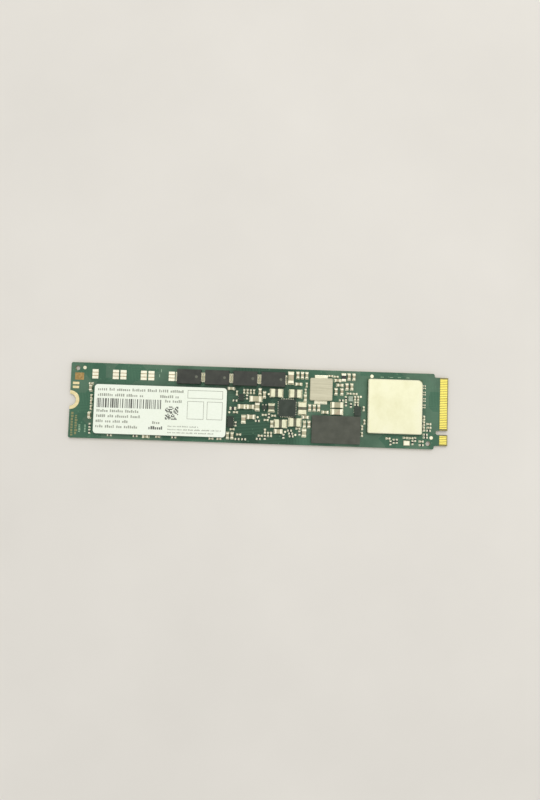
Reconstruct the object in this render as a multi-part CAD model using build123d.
from build123d import *
import os

# Gumstick solid state drive: a bare circuit card with all its chips on one face.
# Sizes are in millimetres. +X runs to the edge contacts, +Y across the card, +Z up.
# The origin is the middle of the underside.

# Circuit board
board_length = 110.0
board_width = 22.0
board_thickness = 0.8
board_corner = 0.5
mask_thickness = 0.05
shoulder_step = 1.075
tongue_length = 4.0
tongue_corner = 0.4
bevel_length = 0.2
bevel_depth = 0.15
tooling_hole = 1.4
tooling_inset = 1.65
tooling_from_mount = 1.9
tooling_from_connector = 5.65

# Edge contacts and the key notch between them
contact_pitch = 0.5
contact_width = 0.35
contact_length = 2.05
contact_end_gap = 0.1
contact_margin = 0.675
key_width = 1.2
key_depth = 3.5
key_offset = 6.125
key_clearance = 0.4

# Half-round screw notch and its plated ring
notch_width = 3.5
ring_width = 5.5
ring_clearance = 0.1

# Controller: ball grid, substrate, die and metal lid
controller_size = 15.9
controller_setback = 15.6
controller_offset = 1.0
substrate_thickness = 0.4
lid_inset = 0.1
lid_height = 0.85
lid_corner = 0.5
lid_index_corner = 1.5
lid_edge = 0.2
lid_roof = 0.4
lid_wall = 2.0
die_size = 8.0
die_gap = 0.05

# Memory packages
nand_length = 18.0
nand_width = 14.0
nand_height = 1.1
nand_spacing = 2.0
nand_offset = -2.4
dram_length = 14.0
dram_width = 8.0
dram_height = 0.85
dram_offset = -6.25
dimple_radius = 0.35
dimple_depth = 0.05
dimple_inset = 0.9

# Solder balls, the outer ring of each grid
ball_height = 0.25
ball_radius = 0.22
controller_ball_pitch = 0.95
nand_ball_pitch = 1.2
dram_ball_pitch = 0.8
ball_inset = 0.75

# Paper label over the flash packages
label_overhang = 0.1
label_thickness = 0.1
label_corner = 1.0

# Power chip with flat leads
power_chip_size = 5.0
power_chip_height = 0.6
power_chip_offset = -0.4
lead_height = 0.2
lead_width = 0.25
lead_reach = 0.15
lead_length = 0.55
lead_corner = 0.2
power_lead_pitch = 0.5
power_lead_corner = 0.5

# Big power inductor
coil_size = 6.5
coil_height = 1.25
coil_offset = 5.3
coil_corner = 0.4
coil_edge = 0.15
coil_foot_width = 3.65
coil_foot_reach = 0.7
coil_foot_grip = 1.2
coil_foot_thickness = 0.15
coil_tab_height = 0.6

# Hold-up capacitors in a row along the upper edge
holdup_length = 7.3
holdup_width = 4.3
holdup_height = 1.5
holdup_spacing = 0.85
holdup_count = 4
holdup_offset = 7.75
holdup_draft = 6.0
holdup_lead = 0.12
holdup_lead_width = 2.6
holdup_foot = 1.3

# Bare places of the same row
land_length = 1.75
land_width = 2.75
land_thickness = 0.035
land_inset = 0.2
stripe_count = 3
stripe_gap = 0.15
stripe_height = 0.1

# Chip parts: length, width and height of each size, and the metal ends
bulk_length = 3.2
bulk_width = 1.6
bulk_height = 1.1
bulk_end = 0.75
filter_length = 2.0
filter_width = 1.25
filter_height = 0.85
filter_end = 0.5
bypass_length = 1.6
bypass_width = 0.8
bypass_height = 0.8
bypass_end = 0.4
small_length = 1.0
small_width = 0.5
small_height = 0.5
small_end = 0.25
coupling_length = 0.6
coupling_width = 0.3
coupling_height = 0.3
coupling_end = 0.15
coupling_pairs = 4
coupling_pair_pitch = 1.86
coupling_pair_spacing = 0.7
coupling_from_controller = 0.6
coupling_first = 13.95
resistor_height = 0.35
buck_length = 3.3
buck_width = 2.4
buck_height = 1.0
buck_end = 1.25
choke_length = 2.0
choke_width = 1.8
choke_height = 0.9
choke_end = 0.45
end_lip = 0.03

# Small packages
boot_length = 1.9
boot_width = 2.7
boot_height = 0.5
boot_gap = 0.25
boot_along_memory = 6.2
switch_length = 1.7
switch_width = 3.1
switch_height = 0.65
switch_from_power = 16.3
switch_below_power = 4.5
sensor_length = 1.25
sensor_width = 1.5
sensor_height = 0.4
sensor_from_coil = 5.4
sensor_below_coil = 2.4
timer_length = 1.5
timer_width = 1.9
timer_height = 0.5
timer_from_power = 13.4
timer_above_power = 2.7
transistor_length = 1.3
transistor_width = 1.2
transistor_height = 0.7
transistor_reach = 0.3
transistor_from_power = 6.6
transistor_below_power = 0.05
small_lead_pitch = 0.65
crystal_length = 1.8
crystal_width = 1.4
crystal_base = 0.3
crystal_lid = 0.15
crystal_rim = 0.12
crystal_inside_right = 4.25
crystal_below_controller = 2.45

# Flat bare pads
pad_thickness = 0.03
fiducial = 1.0
fiducial_inset = 1.5
fiducial_from_mount = 3.95
fiducial_from_tooling = 1.7
fiducial_beside_tooling = 0.9
fiducial_along_lid = 1.25
fiducial_above_lid = 0.75
test_pad = 0.6
ground_pad_length = 2.6
ground_pad_width = 2.1
ground_pad_inset = 1.2
service_pad_length = 1.85
service_pad_width = 0.72
service_pad_inset = 0.675
service_pad_pitch = 1.15
pad_gap = 0.64

# Free room between the packages along the card
dram_gap = 1.95
coil_gap = 10.25
power_gap = 3.95
nand_gap = 15.15
mount_room = 5.5
holdup_gap = 1.75
holdup_room = 5.5

# Places worked out from the sizes above
top = board_thickness
connector_end = board_length / 2
mount_end = -board_length / 2
tongue_width = board_width - 2 * shoulder_step
bare_length = contact_length + bevel_length + 2 * contact_end_gap
controller_x = connector_end - controller_setback
controller_left = controller_x - controller_size / 2
controller_right = controller_x + controller_size / 2
controller_low = controller_offset - controller_size / 2
controller_high = controller_offset + controller_size / 2
dram_x = controller_left - dram_gap - dram_length / 2
dram_high = dram_offset + dram_width / 2
coil_x = controller_left - coil_gap - coil_size / 2
coil_right = coil_x + coil_size / 2
power_x = coil_x - coil_size / 2 - power_gap - power_chip_size / 2
nand_row_end = power_x - power_chip_size / 2 - nand_gap
nand_pitch = nand_length + nand_spacing
nand_room = nand_row_end - mount_end - mount_room
nand_count = int((nand_room + nand_spacing) // nand_pitch)
nand_row_start = nand_row_end - nand_count * nand_pitch + nand_spacing
nand_low = nand_offset - nand_width / 2
nand_high = nand_offset + nand_width / 2
package_floor = top + ball_height
holdup_pitch = holdup_length + holdup_spacing
holdup_last = power_x - power_chip_size / 2 - holdup_gap
holdup_row = holdup_last - holdup_length / 2 - land_inset - mount_end - holdup_room
holdup_sites = int(holdup_row // holdup_pitch) + 1

# Chip parts by zone. Each spot is x and y from the zone's own corner, then the way the part lies.
power_zone = {
    "bulk": [(-9.15, 2.35, "x"), (0.85, 8.8, "y")],
    "filter": [
        (-13.1, 0.0, "x"), (-10.65, 0.0, "x"), (-12.55, -3.65, "y"), (-10.4, -2.9, "x"),
        (-8.65, 0.1, "y"), (-2.35, -6.85, "x"), (5.1, -7.05, "y"),
    ],
    "bypass": [
        (-16.4, 5.15, "x"), (-17.0, -8.5, "y"), (-15.7, -8.5, "y"), (-8.0, 4.5, "y"),
        (-6.7, 3.65, "y"), (-4.3, -4.75, "y"), (5.2, 3.1, "y"), (5.35, -2.5, "x"),
        (5.15, -4.5, "y"), (6.45, -4.5, "y"), (2.85, 9.65, "y"), (4.15, 9.65, "y"),
        (5.45, 9.65, "y"), (3.15, 7.05, "x"),
    ],
    "small": [
        (-12.6, 4.45, "y"), (-11.65, 4.45, "y"), (-10.7, 4.45, "y"), (-9.75, 4.45, "y"),
        (-14.7, 3.9, "y"), (-14.95, -1.7, "x"), (-15.75, -6.65, "x"), (-13.8, -8.1, "x"),
        (-6.55, -2.2, "x"), (-3.85, -2.35, "x"), (-5.95, -3.65, "x"), (-6.2, -6.9, "y"),
        (-5.3, -7.8, "y"), (-4.4, -7.8, "y"), (-7.5, -8.25, "x"), (3.35, -5.85, "x"),
        (5.25, 5.1, "y"), (5.5, 6.9, "y"),
    ],
    "resistor": [
        (-15.2, 1.7, "x"), (-11.75, 2.85, "y"), (-14.8, -5.1, "y"), (-14.2, -9.45, "x"),
        (-12.3, -9.45, "x"), (-5.2, -2.4, "y"), (-8.5, -4.0, "x"), (-6.2, -8.7, "y"),
        (-8.05, -9.2, "x"), (-0.8, -8.2, "y"), (0.9, -6.5, "x"), (1.25, -7.35, "x"),
        (1.45, -8.15, "x"), (3.8, -7.1, "y"),
    ],
    "sense": [(-15.75, -0.6, "x")],
    "buck": [(-3.2, 4.25, "x"), (2.35, 4.25, "x"), (-1.8, -4.6, "x"), (2.35, -4.1, "x"), (4.4, 0.0, "y")],
    "choke": [(-4.55, -0.05, "y")],
}
coil_zone = {
    "bypass": [
        (1.5, 2.8, "x"), (4.8, 3.95, "y"), (6.2, 3.95, "y"), (2.2, 1.45, "x"), (4.25, 1.05, "y"),
        (5.65, 1.05, "y"), (1.1, -0.45, "y"), (2.8, -0.45, "y"),
    ],
    "small": [
        (-0.55, 4.05, "x"), (1.05, 3.9, "x"), (4.95, -0.9, "x"), (6.7, -0.95, "x"),
        (6.7, -2.2, "y"), (7.6, -2.2, "y"), (7.15, -3.4, "x"),
    ],
    "resistor": [
        (4.05, -2.35, "y"), (4.1, -3.9, "y"), (2.75, -2.95, "x"), (5.58, -4.3, "y"),
        (7.15, -4.15, "x"),
    ],
    "bleed": [(3.3, 3.8, "y")],
}
dram_zone = {
    "bulk": [(0.2, 3.2, "x"), (0.2, 1.2, "x")],
    "bypass": [(-7.7, 2.15, "y"), (-6.4, 2.15, "y"), (-5.1, 2.15, "y"), (-3.2, 1.0, "x")],
}
controller_left_zone = {
    "small": [(-0.95, 7.1, "y"), (-0.67, 3.25, "y"), (-1.3, 1.6, "y"), (-1.3, -0.35, "y")],
}
controller_right_zone = {
    "coupling": [
        (coupling_from_controller, coupling_first - pair * coupling_pair_pitch + side, "x")
        for pair in range(coupling_pairs)
        for side in (-coupling_pair_spacing / 2, coupling_pair_spacing / 2)
    ],
    "small": [
        (0.7, 4.95, "y"), (0.7, 3.35, "y"), (0.7, 1.75, "y"), (2.15, 3.25, "x"), (2.2, 2.2, "x"),
        (-4.6, -0.95, "x"), (-2.95, -1.0, "x"), (-9.6, -1.3, "x"), (0.0, -1.85, "x"),
    ],
    "resistor": [
        (2.05, 1.33, "x"), (1.15, 0.17, "x"), (1.2, -0.67, "x"), (-1.75, -1.3, "y"),
        (-2.5, -2.25, "y"), (-8.85, -2.53, "y"), (-7.95, -2.05, "y"), (-7.05, -2.0, "y"),
        (0.05, -2.9, "x"),
    ],
}
nand_start_zone = {
    "bypass": [(-1.55, 6.05, "y"), (-1.65, -1.9, "y")],
    "small": [(-1.55, 7.35, "x"), (-1.3, 3.5, "y"), (-1.3, 1.95, "y"), (-1.3, 0.3, "y")],
    "resistor": [(-1.45, -4.9, "y"), (-1.45, -6.6, "y")],
}
nand_foot_zone = {
    "bypass": [(-23.05, -0.6, "x")],
    "small": [(-19.55, -0.55, "x"), (-4.1, -0.55, "x"), (-1.8, -0.55, "x")],
    "resistor": [(-33.6, -0.55, "x"), (-26.1, -0.55, "x"), (-14.9, -0.55, "x")],
}
nand_foot_zone = {
    kind: [spot for spot in spots if nand_row_end + spot[0] > nand_row_start]
    for kind, spots in nand_foot_zone.items()
}

# Test pads, from the middle of the power chip
test_spots = [
    (-16.75, -1.75), (-8.45, -2.9), (-5.45, 3.9), (-0.35, -6.9), (2.65, -7.7), (21.35, 4.0),
]

# Each zone hangs on the package or edge that it belongs to
zones = [
    ((power_x, power_chip_offset), power_zone),
    ((coil_right, coil_offset), coil_zone),
    ((dram_x, dram_high), dram_zone),
    ((controller_left, controller_low), controller_left_zone),
    ((controller_right, controller_low), controller_right_zone),
    ((nand_row_start, nand_offset), nand_start_zone),
    ((nand_row_end, nand_low), nand_foot_zone),
]

# Length, width, height and end length of each kind of chip part
chip_sizes = {
    "bulk": (bulk_length, bulk_width, bulk_height, bulk_end),
    "filter": (filter_length, filter_width, filter_height, filter_end),
    "bypass": (bypass_length, bypass_width, bypass_height, bypass_end),
    "small": (small_length, small_width, small_height, small_end),
    "coupling": (coupling_length, coupling_width, coupling_height, coupling_end),
    "resistor": (small_length, small_width, resistor_height, small_end),
    "sense": (bypass_length, bypass_width, resistor_height, bypass_end),
    "bleed": (filter_length, filter_width, resistor_height, filter_end),
    "buck": (buck_length, buck_width, buck_height, buck_end),
    "choke": (choke_length, choke_width, choke_height, choke_end),
}

# The node that holds each kind of chip part
chip_nodes = {
    "bulk": "bulk_capacitor",
    "filter": "filter_capacitor",
    "bypass": "bypass_capacitor",
    "small": "small_capacitor",
    "coupling": "coupling_capacitor",
    "resistor": "chip_resistor",
    "sense": "chip_resistor",
    "bleed": "chip_resistor",
    "buck": "chip_inductor",
    "choke": "chip_inductor",
}

nodes = {}


def add(name, *shapes):
    nodes.setdefault(name, []).extend(shapes)


def block(length, width, height, x, y, z):
    return Pos(x, y, z + height / 2) * Box(length, width, height)


def disc(diameter, thickness, x, y, z):
    return Pos(x, y, z + thickness / 2) * Cylinder(diameter / 2, thickness)


def drilled(shape, diameter, x, y):
    return shape - disc(diameter, 3 * board_thickness, x, y, -board_thickness)


def bar(points, width, x, y, turn):
    profile = make_face(Polyline(*points, close=True))
    solid = extrude(Plane.XZ * profile, amount=width / 2, both=True)
    return Pos(x, y, 0) * Rot(0, 0, turn) * solid


# The board: outline, key, notch, holes, bare tongue and bevelled tip
def circuit_board():
    body_length = board_length - tongue_length
    shoulder = connector_end - tongue_length
    body = Pos(mount_end + body_length / 2, 0) * RectangleRounded(body_length, board_width, board_corner)
    tongue = Pos(connector_end - tongue_length, 0) * Rectangle(2 * tongue_length, tongue_width)
    outline = body + tongue
    at_shoulder = [v for v in outline.vertices() if abs(v.X - shoulder) < 0.01]
    inner = [v for v in at_shoulder if abs(abs(v.Y) - tongue_width / 2) < 0.01]
    outline = fillet(inner, tongue_corner)
    key_end = connector_end - key_depth + key_width / 2
    outline -= Pos(key_end + key_depth / 2, -key_offset) * Rectangle(key_depth, key_width)
    outline -= Pos(key_end, -key_offset) * Circle(key_width / 2)
    board = extrude(outline, board_thickness)
    board = drilled(board, notch_width, mount_end, 0)
    for x, y in tooling_spots:
        board = drilled(board, tooling_hole, x, y)
    for z in (0, top - mask_thickness):
        bare = block(2 * bare_length, board_width, mask_thickness, connector_end, 0, z)
        opening = disc(ring_width + 2 * ring_clearance, mask_thickness, mount_end, 0, z)
        board -= bare
        board -= opening
    for face, way in ((mask_thickness, 1), (top - mask_thickness, -1)):
        slope = [
            (connector_end - bevel_length, face),
            (connector_end + bevel_length, face + 2 * way * bevel_depth),
            (connector_end + bevel_length, face - way * bevel_depth),
            (connector_end - bevel_length, face - way * bevel_depth),
        ]
        board -= bar(slope, board_width, 0, 0, 0)
    return board


# One row of contacts, left out where the key notch runs
def contact_row(first, z):
    count = int(round((2 * first) / contact_pitch)) + 1
    x = connector_end - bevel_length - contact_end_gap - contact_length / 2
    for index in range(count):
        y = first - index * contact_pitch
        if abs(y + key_offset) > key_width / 2 + key_clearance:
            yield block(contact_length, contact_width, mask_thickness, x, y, z)


# The plated half ring round the screw notch, one on each face
def mount_plating(z):
    ring = Circle(ring_width / 2) - Circle(notch_width / 2)
    half = ring & Pos(ring_width / 2, 0) * Rectangle(ring_width, ring_width)
    return Pos(mount_end, 0, z) * extrude(half, mask_thickness)


# The outer ring of a ball grid under a package
def ball_ring(length, width, pitch, x, y):
    across = int((length - 2 * ball_inset) // pitch)
    along = int((width - 2 * ball_inset) // pitch)
    ball = extrude(RegularPolygon(ball_radius, 4), ball_height)
    for i in range(across + 1):
        for j in range(along + 1):
            if i in (0, across) or j in (0, along):
                yield Pos(x + (i - across / 2) * pitch, y + (j - along / 2) * pitch, top) * ball


# A flat-leaded package: its body on rows of leads, which point both ways along each axis in ways
def leaded_chip(name, length, width, height, x, y, pitch, corner, reach, ways):
    add(name + "_body", block(length, width, height, x, y, top + lead_height))
    for way in ways:
        depth, span = (length, width) if way == "x" else (width, length)
        count = int((span - 2 * corner - lead_width) // pitch) + 1
        out = depth / 2 + reach - lead_length / 2
        for side in (-out, out):
            for index in range(count):
                step = (index - (count - 1) / 2) * pitch
                if way == "x":
                    lead = block(lead_length, lead_width, lead_height, x + side, y + step, top)
                else:
                    lead = block(lead_width, lead_length, lead_height, x + step, y + side, top)
                add(name + "_leads", lead)


# A chip part: a body held between two metal ends
def chip_part(kind, x, y, way):
    length, width, height, end = chip_sizes[kind]
    place = Pos(x, y, top) * Rot(0, 0, 0 if way == "x" else 90)
    body = block(length - 2 * end, width - 2 * end_lip, height - 2 * end_lip, 0, 0, end_lip)
    add(chip_nodes[kind] + "_bodies", place * body)
    for side in (-1, 1):
        metal = block(end, width, height, side * (length - end) / 2, 0, 0)
        add(chip_nodes[kind] + "_ends", place * metal)


# A moulded capacitor body, widest at its parting line, on two folded leads
def holdup_capacitor(number, x, y):
    body_length = holdup_length - 2 * holdup_lead
    half = (holdup_height - holdup_lead) / 2
    upper = extrude(Rectangle(body_length, holdup_width), half, taper=holdup_draft)
    body = Pos(x, y, top + holdup_lead + half) * (upper + mirror(upper, Plane.XY))
    add(f"holdup_capacitor_{number}_body", body)
    outer = holdup_length / 2
    profile = [
        (outer, top),
        (outer, top + holdup_lead + half),
        (outer - holdup_lead, top + holdup_lead + half),
        (outer - holdup_lead, top + holdup_lead),
        (outer - holdup_foot, top + holdup_lead),
        (outer - holdup_foot, top),
    ]
    for turn in (0, 180):
        add(f"holdup_capacitor_{number}_leads", bar(profile, holdup_lead_width, x, y, turn))


# A bare place for the same capacitor: two lands, each with solder in stripes
def bare_place(x, y):
    stripe = (land_width - (stripe_count - 1) * stripe_gap) / stripe_count
    for side in (-1, 1):
        land_x = x + side * (holdup_length / 2 + land_inset - land_length / 2)
        add("bare_lands", block(land_length, land_width, land_thickness, land_x, y, top))
        for index in range(stripe_count):
            step = (index - (stripe_count - 1) / 2) * (stripe + stripe_gap)
            solder = block(land_length, stripe, stripe_height, land_x, y + step, top + land_thickness)
            add("bare_land_solder", solder)


# Board, contacts and plated ring
tooling_y = board_width / 2 - tooling_inset
tooling_x = connector_end - tooling_from_connector
tooling_spots = [(mount_end + tooling_from_mount, tooling_y), (tooling_x, -tooling_y)]
add("circuit_board", circuit_board())
first_contact = tongue_width / 2 - contact_margin
add("edge_contacts_top", *contact_row(first_contact, top - mask_thickness))
add("edge_contacts_bottom", *contact_row(first_contact - contact_pitch / 2, 0))
add("mount_plating", mount_plating(0), mount_plating(top - mask_thickness))

# Flat bare pads
fiducial_spots = [
    (mount_end + fiducial_from_mount, board_width / 2 - fiducial_inset),
    (tooling_x + fiducial_beside_tooling, -tooling_y + fiducial_from_tooling),
    (controller_left + fiducial_along_lid, controller_high + fiducial_above_lid),
]
for x, y in fiducial_spots:
    add("fiducials", disc(fiducial, pad_thickness, x, y, top))
for x, y in test_spots:
    add("test_pads", disc(test_pad, pad_thickness, power_x + x, power_chip_offset + y, top))
service_x = mount_end + service_pad_inset + service_pad_length / 2
service_y = ring_width / 2 + pad_gap + service_pad_width / 2
for y in (service_y, service_y + service_pad_pitch):
    add("service_pads", block(service_pad_length, service_pad_width, pad_thickness, service_x, y, top))
ground_x = mount_end + ground_pad_inset + ground_pad_length / 2
ground_y = service_y + service_pad_pitch + service_pad_width / 2 + pad_gap + ground_pad_width / 2
add("ground_pad", block(ground_pad_length, ground_pad_width, pad_thickness, ground_x, ground_y, top))

# Flash packages under one label
for number in range(nand_count):
    x = nand_row_start + nand_length / 2 + number * nand_pitch
    package = block(nand_length, nand_width, nand_height, x, nand_offset, package_floor)
    balls = ball_ring(nand_length, nand_width, nand_ball_pitch, x, nand_offset)
    add(f"flash_package_{number + 1}", package)
    add(f"flash_balls_{number + 1}", *balls)
label_length = nand_row_end - nand_row_start + 2 * label_overhang
label_face = RectangleRounded(label_length, nand_width + 2 * label_overhang, label_corner)
label_place = Pos((nand_row_start + nand_row_end) / 2, nand_offset, package_floor + nand_height)
add("blank_label", label_place * extrude(label_face, label_thickness))

# Working memory with its corner mark
dram = block(dram_length, dram_width, dram_height, dram_x, dram_offset, package_floor)
dimple_x = dram_x - dram_length / 2 + dimple_inset
dimple_y = dram_offset - dram_width / 2 + dimple_inset
dimple_z = package_floor + dram_height - dimple_depth
dram -= disc(2 * dimple_radius, 2 * dimple_depth, dimple_x, dimple_y, dimple_z)
add("memory_package", dram)
add("memory_balls", *ball_ring(dram_length, dram_width, dram_ball_pitch, dram_x, dram_offset))

# Controller: the lid is a shallow cup over the die, one corner rounder to show which way round it sits
lid_floor = package_floor + substrate_thickness
lid_size = controller_size - 2 * lid_inset
balls = ball_ring(controller_size, controller_size, controller_ball_pitch, controller_x, controller_offset)
add("controller_balls", *balls)
substrate = block(controller_size, controller_size, substrate_thickness, 0, 0, package_floor)
add("controller_substrate", Pos(controller_x, controller_offset) * substrate)
die = block(die_size, die_size, lid_height - lid_roof - die_gap, 0, 0, lid_floor)
add("controller_die", Pos(controller_x, controller_offset) * die)
lid_face = Rectangle(lid_size, lid_size)
corners = lid_face.vertices().sort_by(Axis((0, 0, 0), (1, 1, 0)))
lid_face = fillet(corners[:3], lid_corner)
index_corner = lid_face.vertices().sort_by(Axis((0, 0, 0), (1, 1, 0)))[-1]
lid_face = fillet([index_corner], lid_index_corner)
lid = extrude(lid_face, lid_height)
lid = chamfer(lid.faces().sort_by(Axis.Z)[-1].edges(), lid_edge)
room = lid_size - 2 * lid_wall
lid -= block(room, room, lid_height - lid_roof, 0, 0, 0)
add("controller_lid", Pos(controller_x, controller_offset, lid_floor) * lid)

# Power chip and its pad
leaded_chip(
    "power_chip", power_chip_size, power_chip_size, power_chip_height, power_x, power_chip_offset,
    power_lead_pitch, power_lead_corner, lead_reach, ("x", "y"),
)
pad_size = power_chip_size - 2 * (lead_length - lead_reach + lead_corner)
add("power_chip_leads", block(pad_size, pad_size, lead_height, power_x, power_chip_offset, top))

# Big inductor on two folded feet
coil_face = RectangleRounded(coil_size, coil_size, coil_corner)
coil = extrude(coil_face, coil_height)
coil = chamfer(coil.faces().sort_by(Axis.Z)[-1].edges(), coil_edge)
add("power_inductor_body", Pos(coil_x, coil_offset, top + coil_foot_thickness) * coil)
coil_half = coil_size / 2
foot = [
    (coil_half + coil_foot_reach, top),
    (coil_half + coil_foot_reach, top + coil_foot_thickness),
    (coil_half + coil_foot_thickness, top + coil_foot_thickness),
    (coil_half + coil_foot_thickness, top + coil_foot_thickness + coil_tab_height),
    (coil_half, top + coil_foot_thickness + coil_tab_height),
    (coil_half, top + coil_foot_thickness),
    (coil_half - coil_foot_grip, top + coil_foot_thickness),
    (coil_half - coil_foot_grip, top),
]
for turn in (90, 270):
    add("power_inductor_feet", bar(foot, coil_foot_width, coil_x, coil_offset, turn))

# Hold-up capacitors, then the bare places of the row
for site in range(holdup_sites):
    x = holdup_last - site * holdup_pitch
    if site < holdup_count:
        holdup_capacitor(holdup_count - site, x, holdup_offset)
    else:
        bare_place(x, holdup_offset)

# Small packages, each with its size and its place
small_packages = {
    "boot_chip": (
        boot_length, boot_width, boot_height,
        dram_x + boot_along_memory, dram_high + boot_gap + boot_width / 2,
    ),
    "switch_chip": (
        switch_length, switch_width, switch_height,
        power_x - switch_from_power, power_chip_offset - switch_below_power,
    ),
    "sensor_chip": (
        sensor_length, sensor_width, sensor_height,
        coil_right + sensor_from_coil, coil_offset - sensor_below_coil,
    ),
    "timer_chip": (
        timer_length, timer_width, timer_height,
        power_x - timer_from_power, power_chip_offset + timer_above_power,
    ),
}
for name, size_and_place in small_packages.items():
    leaded_chip(name, *size_and_place, small_lead_pitch, lead_corner, 0.0, ("x",))

# Transistor: one lead below, two above
transistor_x = power_x - transistor_from_power
transistor_y = power_chip_offset - transistor_below_power
transistor_out = transistor_width / 2 + transistor_reach - lead_length / 2
transistor_step = transistor_length / 2 - lead_corner
add("transistor_body", block(
    transistor_length, transistor_width, transistor_height, transistor_x, transistor_y, top + lead_height,
))
for side, out in ((0, -transistor_out), (-1, transistor_out), (1, transistor_out)):
    lead_x = transistor_x + side * transistor_step
    lead = block(lead_width, lead_length, lead_height, lead_x, transistor_y + out, top)
    add("transistor_leads", lead)

# Crystal: ceramic base and metal lid
crystal_x = controller_right - crystal_inside_right
crystal_y = controller_low - crystal_below_controller
add("crystal_base", block(crystal_length, crystal_width, crystal_base, crystal_x, crystal_y, top))
add("crystal_lid", block(
    crystal_length - 2 * crystal_rim, crystal_width - 2 * crystal_rim, crystal_lid,
    crystal_x, crystal_y, top + crystal_base,
))

# Chip parts of every zone
for (zone_x, zone_y), spots in zones:
    for kind, places in spots.items():
        for dx, dy, way in places:
            chip_part(kind, zone_x + dx, zone_y + dy, way)

os.makedirs("parts", exist_ok=True)
for name, shapes in nodes.items():
    solids = [solid for shape in shapes for solid in shape.solids()]
    node = solids[0] if len(solids) == 1 else Compound(solids)
    node.label = name
    export_step(node, f"parts/{name}.step")
